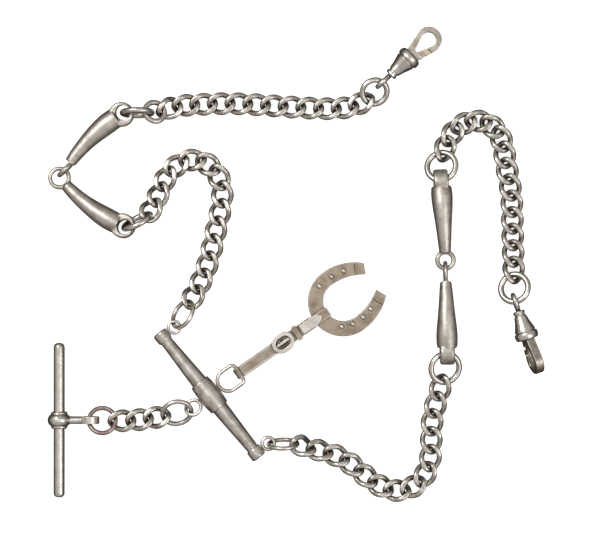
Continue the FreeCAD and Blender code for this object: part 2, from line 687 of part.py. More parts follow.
def left_run(upper_eye):
    """The left run climbs from the bar's upper end to the first bit. Gives the bit's upper half."""
    flat_eye, upper_dir = Vec(-56.0, 21.9, 2.9), heading(43.0, 3.3)
    lower = cannon_place(flat_eye, heading(-35.5, 3.4), Vec(0, 0, -1), False)
    eye_line = unit(Vec(1, 4 * CANNON_BULGE / CANNON_LENGTH, 0))
    away = cannon_place(Vec(0, 0, 0), upper_dir, Vec(0, 0, 1), True).Rotation.multVec(eye_line)
    upper = cannon_place(flat_eye + away * 2.4, upper_dir, Vec(0, 0, 1), True)
    start = wire_contact(upper_eye + Vec(0, 0, 0.5) - heading(156) * 0.35, heading(66),
                         UPPER_EYE[0], UPPER_EYE[1], UPPER_EYE_RING[1], 0.5)
    end = hole_of(lower) + heading(26) * 0.5
    end.z = STANDING_BIT_RING
    points = [start, Vec(-26.6, -8.6, 3.4), Vec(-24.2, -4.6, 1.9), Vec(-21.2, 2.9, LINK_REST),
              Vec(-19.2, 11.5, LINK_REST), Vec(-18.0, 19.5, LINK_REST), Vec(-20.0, 24.2, LINK_REST),
              Vec(-25.2, 26.5, LINK_REST), Vec(-30.2, 23.8, LINK_REST), Vec(-32.9, 18.4, 2.2),
              Vec(-34.6, 14.2, 3.9), end]
    run = [ring_piece("upper_eye_ring", UPPER_EYE_RING, -55)]
    run += link_pieces("left_links", (3, 3, 3, 3, 2), LEFT_ROLLS)
    run += [ring_piece("left_bit_ring", BIT_RING, 75)]
    last, place, contacts = add_run(points, run, "swingletree", UPPER_EYE[1], BIT_RING[1])
    add("bit_1_lower_cannon", placed(cannon(False), lower))
    joint("bit_1_lower_cannon_hinge", last, "bit_1_lower_cannon", place.Base,
          level_across(contacts[1] - contacts[0]), "orbit")
    add("bit_1_upper_cannon", placed(cannon(True), upper))
    joint("bit_1_middle_joint", "bit_1_lower_cannon", "bit_1_upper_cannon", flat_eye,
          Vec(0, 0, 1), "bit")
    return upper


def top_run(upper):
    """The top run goes from the first bit to the first dog clip."""
    tip, along = Vec(17.7, 42.8, 2.95), heading(42.6)
    eye = tip + along * SWIVEL_CENTRE
    start = hole_of(upper) + Vec(0.6, 0, 0)
    start.z = STANDING_BIT_RING
    end = wire_contact(eye, along * -1, SWIVEL_EYE[0], SWIVEL_EYE[1], DOG_RING_TOP[1])
    points = [start, Vec(-37.6, 37.3, 4.4), Vec(-33.2, 37.2, 3.1), Vec(-30.4, 38.4, 1.9),
              Vec(-26.5, 38.9, LINK_REST), Vec(-18.6, 39.3, LINK_REST), Vec(-6.7, 38.8, LINK_REST),
              Vec(5.4, 38.1, LINK_REST), Vec(10.5, 38.2, LINK_REST), Vec(14.6, 39.3, 1.8), end]
    run = [ring_piece("top_bit_ring", BIT_RING, 82), ring_piece("top_small_ring", SMALL_RING, -14)]
    run += link_pieces("top_links", (3, 3, 3, 3), TOP_ROLLS)
    run += [ring_piece("top_dog_ring", DOG_RING_TOP, 20)]
    last, place, _ = add_run(points, run, "bit_1_upper_cannon", BIT_RING[1], SWIVEL_EYE[1])
    add_clip("top_clip", tip, along, 0, last, place.multVec(Vec(DOG_RING_TOP[0], 0, 0)))


def lower_run(lower_eye):
    """The lower run goes from the bar's lower end to the second bit. Gives the bit's upper half."""
    flat_eye = Vec(33.87, -0.1, 2.9)
    lower = cannon_place(flat_eye, heading(-88.8, -0.5), Vec(-1, 0, 0), False)
    upper = cannon_place(flat_eye + Vec(0, 2.85, 0), heading(93.4, 0.3), Vec(1, 0, 0), True)
    start = wire_contact(lower_eye + Vec(0, 0, 0.95) - heading(95) * 0.25, heading(5),
                         LOWER_EYE[0], LOWER_EYE[1], LOWER_EYE_RING[1], 0.7)
    points = [start, Vec(-2.6, -39.6, 4.0), Vec(1.0, -40.7, 2.7), Vec(4.7, -41.6, 1.7),
              Vec(9.2, -43.0, LINK_REST), Vec(17.6, -49.4, LINK_REST), Vec(21.8, -51.2, LINK_REST),
              Vec(26.2, -50.5, LINK_REST), Vec(29.4, -47.4, LINK_REST), Vec(30.6, -43.0, LINK_REST),
              Vec(30.7, -35.0, LINK_REST), Vec(32.2, -29.0, 1.7), hole_of(lower) - Vec(0, 0.5, 0)]
    run = [ring_piece("lower_eye_ring", LOWER_EYE_RING, 105)]
    run += link_pieces("lower_links", (3, 3, 3, 3, 2), LOWER_ROLLS)
    run += [ring_piece("lower_bit_ring", BIT_RING, 16)]
    last, _, _ = add_run(points, run, "swingletree", LOWER_EYE[1], BIT_RING[1])
    add("bit_2_lower_cannon", placed(cannon(False), lower))
    joint("bit_2_lower_cannon_hinge", last, "bit_2_lower_cannon", hole_of(lower), Vec(1, 0, 0),
          "fold")
    add("bit_2_upper_cannon", placed(cannon(True), upper))
    joint("bit_2_middle_joint", "bit_2_lower_cannon", "bit_2_upper_cannon",
          flat_eye + Vec(0, 0.95, 0), Vec(1, 0, 0), "bit")
    return upper


def right_run(upper):
    """The right run goes from the second bit to the second dog clip."""
    tip, along = Vec(49.4, -4.85, 3.3), Vec(0.319, -0.948, 0)
    eye = tip + along * SWIVEL_CENTRE
    end = wire_contact(eye, Vec(-0.1, 1, 0), SWIVEL_EYE[0], SWIVEL_EYE[1], DOG_RING_RIGHT[1])
    points = [hole_of(upper) + Vec(0, 0.6, 0), Vec(33.0, 26.5, 2.0), Vec(34.2, 30.2, 1.55),
              Vec(36.4, 33.6, LINK_REST), Vec(40.6, 35.5, LINK_REST), Vec(44.8, 34.4, LINK_REST),
              Vec(47.2, 31.0, LINK_REST), Vec(47.8, 26.4, LINK_REST), Vec(49.1, 20.0, LINK_REST),
              Vec(49.5, 13.8, LINK_REST), Vec(49.7, 5.5, LINK_REST), Vec(49.8, 1.2, 1.7), end]
    run = [ring_piece("right_bit_ring", BIT_RING, -16)]
    run += link_pieces("right_links", (3, 3, 3, 3, 2), RIGHT_ROLLS)
    run += [ring_piece("right_dog_ring", DOG_RING_RIGHT, 20)]
    last, place, _ = add_run(points, run, "bit_2_upper_cannon", BIT_RING[1], SWIVEL_EYE[1])
    add_clip("right_clip", tip, along, 75, last, place.multVec(Vec(DOG_RING_RIGHT[0], 0, 0)))


def tee_run(tee_eye):
    """The short run goes from the bar's middle to the T-bar."""
    hole = TEE_CENTRE + Vec(TEE_EYE_AT, 0, 0)
    start = wire_contact(tee_eye, heading(197), TEE_EYE[0], TEE_EYE[1], TEE_RING[1])
    points = [start, Vec(-28.6, -33.0, 2.6), Vec(-34.2, -34.0, 2.3), Vec(-38.6, -34.6, 2.3),
              Vec(-42.8, -34.7, 2.5), hole + Vec(0.4, 0, 0)]
    run = [ring_piece("tee_ring", TEE_RING, -38)]
    run += link_pieces("tee_links", (2, 1), TEE_ROLLS)
    run += [ring_piece("tee_end_ring", TEE_END_RING, 22)]
    last, _, _ = add_run(points, run, "swingletree", TEE_EYE[1], TEE_END_RING[1])
    add("tee_rod", placed(tee_rod(), tee_place()), "tee_bar")
    add("tee_collar", placed(tee_collar(), tee_place()), "tee_bar")
    joint("tee_bar_fold", last, "tee_bar", hole, Vec(0, 1, 0), "fold")


# how far each link is rolled about the line of its run, from the first link to the last
LEFT_ROLLS = (-5, -6, -8, -10, -12, -12, -8, -3, 2, 7, 10, 11, 12, 12)
TOP_ROLLS = (17, 11, 6, 3, 0, 0, 0, 0, 0, -2, -6, -11)
LOWER_ROLLS = (-25, -17, -12, -12, -12, -12, -8, -3, 2, 5, 2, -3, -9, -16)
RIGHT_ROLLS = (15, 11, 9, 9, 10, 10, 7, 4, 1, 0, 0, -2, -6, -11)
TEE_ROLLS = (8, 2, -5)


def build():
    tree_and_fob()
    tree = tree_place()
    upper_eye, lower_eye, tee_eye = (tree.multVec(c) for c in eye_centres())
    top_run(left_run(upper_eye))
    right_run(lower_run(lower_eye))
    tee_run(tee_eye)


def centred():
    """Moves everything so that the origin is under the middle of the whole chain's box."""
    whole = Part.makeCompound([s for shapes in NODES.values() for s in shapes])
    reach = whole.optimalBoundingBox(False, False)
    return Vec(-(reach.XMin + reach.XMax) / 2, -(reach.YMin + reach.YMax) / 2, -reach.ZMin)


build()
SHIFT = centred()


def main():
    os.makedirs("parts", exist_ok=True)
    for node, shapes in NODES.items():
        shape = shapes[0] if len(shapes) == 1 else Part.makeCompound(shapes)
        shape.translate(SHIFT)
        shape.exportStep(f"parts/{node}.step")


if __name__ == "__main__":
    main()
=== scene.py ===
"""The looks of a silver double watch chain laid out on a pale table.

Metres, in the same frame as the solid model. Links, rings and turned parts are worked out as
surfaces. The bits, hooks and eyes are softened copies of their solids, and the horseshoe fob and the
clips' bodies are copies with eased edges."""
import json
import math

import bmesh
import bpy
import numpy as np
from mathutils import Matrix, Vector


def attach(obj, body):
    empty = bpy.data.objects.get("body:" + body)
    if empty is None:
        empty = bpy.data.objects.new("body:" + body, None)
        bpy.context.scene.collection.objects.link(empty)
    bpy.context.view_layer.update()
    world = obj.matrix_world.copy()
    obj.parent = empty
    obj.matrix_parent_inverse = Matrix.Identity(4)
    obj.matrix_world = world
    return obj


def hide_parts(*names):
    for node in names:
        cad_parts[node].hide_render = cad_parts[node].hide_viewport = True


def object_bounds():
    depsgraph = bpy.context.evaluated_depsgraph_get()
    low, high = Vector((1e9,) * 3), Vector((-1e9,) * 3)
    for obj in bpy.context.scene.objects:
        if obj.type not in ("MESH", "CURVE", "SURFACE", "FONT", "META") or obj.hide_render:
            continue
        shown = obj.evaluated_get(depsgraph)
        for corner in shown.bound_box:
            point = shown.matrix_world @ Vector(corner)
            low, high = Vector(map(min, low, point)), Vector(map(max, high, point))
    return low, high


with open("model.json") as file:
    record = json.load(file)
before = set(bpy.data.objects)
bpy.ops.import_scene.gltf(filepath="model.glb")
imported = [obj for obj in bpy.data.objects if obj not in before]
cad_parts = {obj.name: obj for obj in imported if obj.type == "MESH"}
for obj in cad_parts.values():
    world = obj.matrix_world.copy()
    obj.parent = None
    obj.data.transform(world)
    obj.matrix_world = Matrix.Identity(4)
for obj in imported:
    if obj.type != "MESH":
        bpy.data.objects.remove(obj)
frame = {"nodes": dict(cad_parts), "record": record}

MODEL_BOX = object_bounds()
RECORD = frame["record"]
BODY_OF = {node: body for body, nodes in RECORD["behaviour"]["bodies"].items() for node in nodes}

bl_info = {
    "name": "Silver watch chain",
    "version": (1, 0, 0),
    "blender": (4, 5, 0),
    "location": "View3D > Sidebar > Chain",
    "description": "Builds the finished surfaces and metals of a double watch chain",
    "category": "Object",
}

# profiles of the turned parts, in millimetres along the axis and out from it
BAR_ARM = [(3.7, 1.9), (6.0, 1.84), (15.9, 1.42), (16.4, 1.4), (18.0, 1.4), (18.1, 0.0)]
COLLAR_HALF = [(0.0, 2.65), (2.0, 2.55), (3.6, 2.37), (3.72, 2.32), (3.8, 2.2), (3.8, 0.0)]
FERRULE = [(16.1, 0.0), (16.1, 1.6), (16.18, 1.72), (16.4, 1.78), (17.2, 1.82), (18.2, 1.85),
           (18.45, 1.78), (18.62, 1.55), (18.7, 1.1), (18.7, 0.0)]
TEE_HALF_LENGTH = 18.0
TEE_RADIUS = 1.3
TEE_END_ROUNDING = 1.0

# how far corners are worn: side of the net's squares, and smoothing passes
WORN_BIT = (0.0001, 36)
WORN_HOOK = (0.00008, 22)
WORN_SHANK = (0.00007, 3)
WORN_EYE = (0.00006, 4)

FILED_AWAY = 0.8                    # share of the height past the file that a link loses
SHARP = math.radians(33)            # corners turning more than this are edges
EDGE_SEGMENTS = 3                   # faces across an eased edge
FLAT_WITHIN = math.radians(0.6)     # faces this near to flat are joined before easing

# a dark dish laid in the buckle's hollow: painted shade
DISH_HALF_LONG, DISH_HALF_WIDE, DISH_HEIGHT = 0.00176, 0.00122, 0.00007
DISH_LIFT = 0.00004                 # the dish's middle above the buckle's underside

TABLE_HALF = 1.6
TABLE_GAP = 0.00002                 # the table's top below the chain's lowest point


# ---- sizes and colours a user would change -------------------------------------------------
class ChainSizes(bpy.types.PropertyGroup):
    """Sizes of the curb links and how finely everything is drawn."""
    reach: bpy.props.FloatProperty(
        name="Link reach", description="Centre of a link to the centre of its end wire",
        default=0.00278, unit="LENGTH", precision=5)
    half_width: bpy.props.FloatProperty(
        name="Link half width", description="Centre of a link to the centre of its side wire",
        default=0.00208, unit="LENGTH", precision=5)
    wire: bpy.props.FloatProperty(
        name="Link wire", description="Diameter of the link wire", default=0.00125, unit="LENGTH",
        precision=5)
    twist: bpy.props.FloatProperty(
        name="Twist", description="Tilt of each end wire, opposite ways at the two ends",
        default=math.radians(-48.0), unit="ROTATION")
    slope: bpy.props.FloatProperty(
        name="Side slope", description="Slope of the side wires across the middle",
        default=math.radians(-38.0), unit="ROTATION")
    filed_at: bpy.props.FloatProperty(
        name="Filed at", description="Height above the link's middle where its face is filed flat",
        default=0.00112, unit="LENGTH", precision=5)
    around: bpy.props.IntProperty(
        name="Steps around wire", description="Points around a wire's section", default=20, min=8)
    along: bpy.props.IntProperty(
        name="Steps along link", description="Points along one link", default=72, min=24)


class ChainMetals(bpy.types.PropertyGroup):
    """Colours of the metals."""
    silver: bpy.props.FloatVectorProperty(
        name="Silver", description="Clean worn silver", default=(0.74, 0.70, 0.65), size=3,
        min=0.0, max=1.0, subtype="COLOR")
    bright: bpy.props.FloatVectorProperty(
        name="Bright edge", description="Silver rubbed bright along edges",
        default=(0.88, 0.86, 0.82), size=3, min=0.0, max=1.0, subtype="COLOR")
    # near-black laid where surfaces are shut in or marked: dark oxide, and painted shade
    tarnish_and_shade: bpy.props.FloatVectorProperty(
        name="Tarnish", description="Old tarnish in the recesses", default=(0.045, 0.030, 0.020),
        size=3, min=0.0, max=1.0, subtype="COLOR")
    patina: bpy.props.FloatVectorProperty(
        name="Patina", description="Brown skin on worn satin faces", default=(0.27, 0.205, 0.15),
        size=3, min=0.0, max=1.0, subtype="COLOR")
    brass: bpy.props.FloatVectorProperty(
        name="Gate metal", description="Yellowish metal of the sprung gates",
        default=(0.66, 0.55, 0.38), size=3, min=0.0, max=1.0, subtype="COLOR")


class StageSizes(bpy.types.PropertyGroup):
    """The table, the lights and the camera."""
    frame_width: bpy.props.FloatProperty(
        name="Frame width", description="Width of table that the camera sees", default=0.1403,
        unit="LENGTH", precision=4)
    lens_height: bpy.props.FloatProperty(
        name="Camera height", description="Camera above the table", default=0.75, unit="LENGTH")
    off_x: bpy.props.FloatProperty(
        name="Off centre X", description="Camera to the right of the chain's middle",
        default=0.00097, unit="LENGTH", precision=5)
    off_y: bpy.props.FloatProperty(
        name="Off centre Y", description="Camera beyond the chain's middle", default=-0.00172,
        unit="LENGTH", precision=5)
    table: bpy.props.FloatVectorProperty(
        name="Table", description="Colour of the table", default=(0.93, 0.93, 0.93), size=3,
        min=0.0, max=1.0, subtype="COLOR")


# ---- numpy helpers ---------------------------------------------------------------------------
def unit_rows(v):
    """Each row scaled to length one."""
    return v / np.maximum(np.linalg.norm(v, axis=-1, keepdims=True), 1e-12)


def smoothstep(x, low, high):
    """Nought below low, one above high, and 3tt - 2ttt between."""
    t = np.clip((x - low) / (high - low), 0.0, 1.0)
    return t * t * (3 - 2 * t)


def node_triangles(node):
    """A node's corner points welded by place, and its triangles as indices into them."""
    mesh = frame["nodes"][node].data
    points = np.empty(len(mesh.vertices) * 3)
    mesh.vertices.foreach_get("co", points)
    mesh.calc_loop_triangles()
    tris = np.empty(len(mesh.loop_triangles) * 3, dtype=np.int64)
    mesh.loop_triangles.foreach_get("vertices", tris)
    keys, where = np.unique(np.round(points.reshape(-1, 3) * 1e7), axis=0, return_inverse=True)
    return keys * 1e-7, where.reshape(-1)[tris].reshape(-1, 3)


def solids_of(node):
    """Splits a node into its separate solids, by passing the smallest label across each triangle
    until nothing changes. Gives one (points, triangles) pair each."""
    points, tris = node_triangles(node)
    label = np.arange(len(points))
    while True:
        low = label[tris].min(axis=1)
        new = label.copy()
        np.minimum.at(new, tris.reshape(-1), np.repeat(low, 3))
        new = new[new]
        if (new == label).all():
            break
        label = new
    return [(points, tris[label[tris[:, 0]] == one]) for one in np.unique(label[tris[:, 0]])]


def main_axes(points, tris):
    """Area-weighted centre and principal axes, longest first, as the rows of a turn."""
    corners = points[tris]
    area = np.linalg.norm(np.cross(corners[:, 1] - corners[:, 0], corners[:, 2] - corners[:, 0]), axis=1)
    mids = corners.mean(axis=1)
    centre = (mids * area[:, None]).sum(axis=0) / area.sum()
    off = mids - centre
    _, vectors = np.linalg.eigh((off * area[:, None]).T @ off)
    x, y = vectors[:, 2], vectors[:, 1]
    return centre, np.array([x, y, np.cross(x, y)])


def to_world(local, centre, axes):
    """Local points turned onto the axes and moved to the centre."""
    return local @ axes + centre


def grid_faces(rows, columns, wrap_rows, wrap_columns):
    """Quads of a grid of points, wrapped round either way."""
    i = np.arange(rows if wrap_rows else rows - 1)
    j = np.arange(columns if wrap_columns else columns - 1)
    i, j = np.meshgrid(i, j, indexing="ij")
    k, l = (i + 1) % rows, (j + 1) % columns
    return np.stack([i * columns + j, k * columns + j, k * columns + l, i * columns + l],
                    axis=-1).reshape(-1, 4)


def outward(points, faces):
    """Turns every face over if the closed surface's signed volume is negative."""
    p = points[faces]
    volume = np.einsum("ij,ij->i", p[:, 0], np.cross(p[:, 1], p[:, 2])).sum()
    volume += np.einsum("ij,ij->i", p[:, 0], np.cross(p[:, 2], p[:, 3])).sum()
    return faces if volume > 0 else faces[:, ::-1]


def make_piece(name, shells, node, metal, stands_in=True):
    """One mesh from closed shells of (points, quads, mask of dark oxide and painted shade), riding where
    its node rides.
    """
    points, faces, tarnish_and_shade, base = [], [], [], 0
    for shell_points, shell_faces, shell_tarnish_and_shade in shells:
        points.append(shell_points)
        faces.append(outward(shell_points - shell_points.mean(axis=0), shell_faces) + base)
        tarnish_and_shade.append(shell_tarnish_and_shade)
        base += len(shell_points)
    points, faces, tarnish_and_shade = np.concatenate(points), np.concatenate(faces), np.concatenate(tarnish_and_shade)
    mesh = bpy.data.meshes.new(name)
    mesh.from_pydata(points, [], faces.tolist())
    # a per-point mask of dark oxide and painted shade, which the metal reads
    layer = mesh.attributes.new("tarnish_and_shade", "FLOAT", "POINT")
    layer.data.foreach_set("value", tarnish_and_shade.astype(np.float32))
    weld = bmesh.new()
    weld.from_mesh(mesh)
    bmesh.ops.remove_doubles(weld, verts=weld.verts, dist=1e-6)
    weld.to_mesh(mesh)
    weld.free()
    mesh.shade_smooth()
    piece = bpy.data.objects.new(name, mesh)
    bpy.context.collection.objects.link(piece)
    mesh.materials.append(metal)
    settle(piece, node, stands_in)


def settle(piece, node, stands_in=True):
    """Puts a piece on its node's body, in the node's stead if it stands in for it."""
    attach(piece, BODY_OF[node])
    if stands_in:
        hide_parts(node)


# ---- curb links ------------------------------------------------------------------------------
def bent_wire(start, leaves, end, count):
    """Points along the one arc that leaves start along a direction and meets end."""
    chord = end - start
    normal = unit_rows(np.cross(leaves, chord))
    side = np.cross(normal, leaves)
    radius = chord @ chord / (2 * chord @ side)
    sweep = 2 * math.acos(np.clip(leaves @ chord / np.linalg.norm(chord), -1, 1))
    t = np.linspace(0, sweep, count)[:, None]
    points = start + side * radius + radius * (leaves * np.sin(t) - side * np.cos(t))
    onward = leaves * math.cos(sweep) + side * math.sin(sweep)
    return points, onward


def link_path(sizes):
    """The middle line of a curb link: a quarter is two tangent arcs, from the end wire, tilted by
    the twist, to the side wire, and half turns about X and Z carry it round."""
    end, side = np.array([sizes.reach, 0, 0]), np.array([0, sizes.half_width, 0])
    leaves = np.array([0, math.cos(sizes.twist), math.sin(sizes.twist)])
    meets = np.array([-math.cos(sizes.slope), 0, -math.sin(sizes.slope)])
    both, across = leaves + meets, side - end
    a, b = 2 * (leaves @ meets - 1), -2 * across @ both
    reach = (-b - math.sqrt(b * b - 4 * a * (across @ across))) / (2 * a)
    middle = (end + leaves * reach + side - meets * reach) * 0.5
    first, onward = bent_wire(end, leaves, middle, 30)
    second, _ = bent_wire(middle, onward, side, 30)
    quarter = np.concatenate([first[:-1], second])
    half = np.concatenate([quarter[:-1], (quarter * [-1, 1, -1])[::-1]])
    whole = np.concatenate([half[:-1], (half * [-1, -1, 1])[:-1]])
    step = np.linalg.norm(np.roll(whole, -1, axis=0) - whole, axis=1)
    far = np.concatenate([[0], np.cumsum(step)])
    closed = np.concatenate([whole, whole[:1]])
    at = np.linspace(0, far[-1], sizes.along, endpoint=False)
    return np.stack([np.interp(at, far, closed[:, k]) for k in range(3)], axis=1)


def link_shell(sizes):
    """A round wire carried along the link's path, with its two faces filed: past the filing height, a
    point keeps only a fifth of what it stands proud. A mask darkens the inside of the wire and the two
    ends, where links bear on each other: dark oxide there, and painted shade where the next link shuts
    out the light."""
    path = link_path(sizes)
    along = unit_rows(np.roll(path, -1, axis=0) - np.roll(path, 1, axis=0))
    out = unit_rows(path - (path * along).sum(axis=1, keepdims=True) * along)
    third = np.cross(along, out)
    turn = np.linspace(0, 2 * math.pi, sizes.around, endpoint=False)
    ray = out[:, None] * np.cos(turn)[None, :, None] + third[:, None] * np.sin(turn)[None, :, None]
    points = path[:, None] + ray * sizes.wire / 2
    z = points[..., 2]
    proud = np.maximum(np.abs(z) - sizes.filed_at, 0)
    points[..., 2] = z - np.sign(z) * proud * FILED_AWAY
    # painted shade with dark oxide: darker on the inside of the wire and towards its ends
    inward = (1 - np.cos(turn))[None] / 2
    near_end = smoothstep(np.abs(path[:, 0]) / sizes.reach, 0.45, 0.85)[:, None]
    tarnish_and_shade = np.clip(inward ** 1.3 * (0.25 + 0.9 * near_end), 0, 1)
    faces = grid_faces(len(path), sizes.around, True, True)
    return points.reshape(-1, 3), faces, tarnish_and_shade.reshape(-1)


class CHAIN_OT_links(bpy.types.Operator):
    """Draws every curb link in its place."""
    bl_idname = "chain.links"
    bl_label = "Curb links"

    def execute(self, context):
        local, faces, tarnish_and_shade = link_shell(context.scene.chain_sizes)
        metal = metals()["link"]
        for node in sorted(BODY_OF):
            if "_links_" not in node:
                continue
            shells = []
            for points, tris in solids_of(node):
                centre, axes = main_axes(points, tris)
                shells.append((to_world(local, centre, axes), faces, tarnish_and_shade))
            make_piece(f"{node}.wire", shells, node, metal)
        return {"FINISHED"}


# ---- rings -----------------------------------------------------------------------------------
def ring_shell(node, steps=96, around=24):
    """A torus: a circle of the wire's radius carried round a circle, darker on its inside with painted
    shade and dark oxide.
    Sizes and place come from the node itself."""
    points, tris = solids_of(node)[0]
    centre, axes = main_axes(points, tris)
    used = (points[np.unique(tris)] - centre) @ axes.T
    wire = (used[:, 2].max() - used[:, 2].min()) / 2
    mean = np.linalg.norm(used[:, :2], axis=1).max() - wire
    u = np.linspace(0, 2 * math.pi, steps, endpoint=False)[:, None]
    v = np.linspace(0, 2 * math.pi, around, endpoint=False)[None]
    radius = mean + wire * np.cos(v)
    local = np.stack([radius * np.cos(u), radius * np.sin(u), wire * np.sin(v) + 0 * u], axis=-1)
    # painted shade with dark oxide on the ring's inside, where links pass through
    tarnish_and_shade = 0.45 * ((1 - np.cos(v)) / 2) ** 2 + 0 * u
    return (to_world(local.reshape(-1, 3), centre, axes), grid_faces(steps, around, True, True),
            tarnish_and_shade.reshape(-1))


class CHAIN_OT_rings(bpy.types.Operator):
    """Draws the eleven jump rings and bit rings."""
    bl_idname = "chain.rings"
    bl_label = "Rings"

    def execute(self, context):
        for node in sorted(BODY_OF):
            if not node.endswith("_ring") or node == "fob_d_ring":
                continue
            metal = metals()["old_ring" if node == "tee_end_ring" else "ring"]
            make_piece(f"{node}.wire", [ring_shell(node)], node, metal)
        return {"FINISHED"}


# ---- turned parts ----------------------------------------------------------------------------
def smooth_profile(points, step=0.00012, ease=2):
    """Fills a turned part's profile, given in millimetres, with even points, then rounds its
    corners by averaging each inner point with its neighbours, ease times over."""
    p = np.array(points, dtype=float) * 1e-3
    far = np.concatenate([[0], np.cumsum(np.linalg.norm(np.diff(p, axis=0), axis=1))])
    at = np.linspace(0, far[-1], max(8, int(far[-1] / step)))
    q = np.stack([np.interp(at, far, p[:, k]) for k in range(2)], axis=1)
    for _ in range(ease):
        q[1:-1] = (q[:-2] + 2 * q[1:-1] + q[2:]) / 4
    return q


def turned_shell(profile, centre, axes, around=48):
    """A surface of revolution about local X from (x, radius) points, its ends closed on the axis."""
    turn = np.linspace(0, 2 * math.pi, around, endpoint=False)[None]
    x, r = profile[:, :1], np.maximum(profile[:, 1:], 1e-7)
    local = np.stack([x + 0 * turn, r * np.cos(turn), r * np.sin(turn)], axis=-1)
    return (to_world(local.reshape(-1, 3), centre, axes), grid_faces(len(profile), around, False, True),
            np.zeros(len(profile) * around))


def mirrored(half):
    """A profile's half with its mirror image before it."""
    return [(-x, r) for x, r in reversed(half)] + half


class CHAIN_OT_bar(bpy.types.Operator):
    """Draws the swingletree bar, its collar and its ferrules, and softens its eyes and D ring."""
    bl_idname = "chain.bar"
    bl_label = "Swingletree bar"

    def execute(self, context):
        points, tris = solids_of("tree_bar")[0]
        centre, axes = main_axes(points, tris)
        profile = smooth_profile(mirrored(BAR_ARM), ease=1)
        make_piece("tree_bar.turned", [turned_shell(profile, centre, axes)], "tree_bar",
                   metals()["bar"])
        profile = smooth_profile(mirrored(COLLAR_HALF), step=0.00009, ease=1)
        make_piece("tree_collar.turned", [turned_shell(profile, centre, axes, 64)], "tree_collar",
                   metals()["bar"])
        shells = []
        for end in (1, -1):
            profile = smooth_profile(FERRULE, step=0.00008, ease=1) * [end, 1]
            shells.append(turned_shell(profile, centre, axes, 48))
        make_piece("tree_ferrules.turned", shells, "tree_ferrules", metals()["bar"])
        cast("tree_eyes", "ring", *WORN_EYE)
        cast("fob_d_ring", "ring", *WORN_EYE)
        return {"FINISHED"}


class CHAIN_OT_tee(bpy.types.Operator):
    """Draws the T-bar's rod and softens its turned bead and cross eye."""
    bl_idname = "chain.tee"
    bl_label = "T-bar"

    def execute(self, context):
        points, tris = solids_of("tee_rod")[0]
        centre, axes = main_axes(points, tris)
        t = np.linspace(0, math.pi / 2, 10)
        along, out = TEE_HALF_LENGTH - TEE_END_ROUNDING, TEE_RADIUS - TEE_END_ROUNDING
        cap = [(along + TEE_END_ROUNDING * math.sin(a), out + TEE_END_ROUNDING * math.cos(a))
               for a in t[:-1]]
        half = [(1.6, TEE_RADIUS), (9.0, TEE_RADIUS), *cap, (TEE_HALF_LENGTH, 0.0)]
        profile = smooth_profile(mirrored(half), ease=1)
        make_piece("tee_rod.turned", [turned_shell(profile, centre, axes, 56)], "tee_rod",
                   metals()["tbar"])
        cast("tee_collar", "tbar", *WORN_EYE)
        return {"FINISHED"}


# ---- softened and eased copies of solids ------------------------------------------------------
def welded_copy(node, ending, metal):
    """A node's own surface, its corners merged, as a new piece."""
    points, tris = node_triangles(node)
    mesh = bpy.data.meshes.new(f"{node}.{ending}")
    mesh.from_pydata(points, [], tris.tolist())
    mesh.validate()
    mesh.materials.append(metals()[metal])
    piece = bpy.data.objects.new(f"{node}.{ending}", mesh)
    bpy.context.collection.objects.link(piece)
    settle(piece, node)
    return piece


def cast(node, metal, grain, passes):
    """A copy with every corner run soft, as a worn casting's are: drawn again as an even net of
    small squares, then smoothed a number of passes."""
    piece = welded_copy(node, "cast", metal)
    net = piece.modifiers.new("net", "REMESH")
    net.mode, net.voxel_size, net.use_smooth_shade = "VOXEL", grain, True
    soften = piece.modifiers.new("soften", "SMOOTH")
    soften.factor, soften.iterations = 0.5, passes


def eased(node, metal, width):
    """A copy with its hard edges rounded by a bevel."""
    piece = welded_copy(node, "eased", metal)
    mesh = piece.data
    planar = piece.modifiers.new("planar", "DECIMATE")
    planar.decimate_type = "DISSOLVE"
    planar.angle_limit = FLAT_WITHIN
    bevel = piece.modifiers.new("bevel", "BEVEL")
    bevel.width, bevel.segments, bevel.limit_method = width, EDGE_SEGMENTS, "ANGLE"
    bevel.angle_limit, bevel.use_clamp_overlap, bevel.harden_normals = SHARP, True, True
    mesh.shade_smooth()
    mesh.set_sharp_from_angle(angle=SHARP)


class CHAIN_OT_bits(bpy.types.Operator):
    """Softens the four halves of the two jointed snaffle bits."""
    bl_idname = "chain.bits"
    bl_label = "Snaffle bits"

    def execute(self, context):
        for node in ("bit_1_lower_cannon", "bit_1_upper_cannon", "bit_2_lower_cannon",
                     "bit_2_upper_cannon"):
            cast(node, "bit", *WORN_BIT)
        return {"FINISHED"}


class CHAIN_OT_clips(bpy.types.Operator):
    """Softens the swivel eye and hook of each dog clip, and eases its body, gate and gate pin."""
    bl_idname = "chain.clips"
    bl_label = "Dog clips"

    def execute(self, context):
        for clip in ("top_clip", "right_clip"):
            cast(f"{clip}_swivel_eye", "clip", *WORN_SHANK)
            eased(f"{clip}_body", "clip", 0.00008)
            cast(f"{clip}_hook", "clip_loop", *WORN_HOOK)
            eased(f"{clip}_gate", "gate", 0.00015)
            eased(f"{clip}_gate_pin", "clip", 0.00005)
        return {"FINISHED"}


def dish_shell(centre, axes):
    """A flattened ellipsoid: its long and wide halves lie along the first two axes."""
    u = np.linspace(0, 2 * math.pi, 48, endpoint=False)[None]
    v = np.linspace(1e-4, math.pi - 1e-4, 16)[:, None]
    local = np.stack([DISH_HALF_LONG * np.sin(v) * np.cos(u), DISH_HALF_WIDE * np.sin(v) * np.sin(u),
                      DISH_HEIGHT * np.cos(v) + 0 * u], axis=-1).reshape(-1, 3)
    # marked darkest all over: painted shade
    return to_world(local, centre, axes), grid_faces(16, 48, False, True), np.ones(len(local))


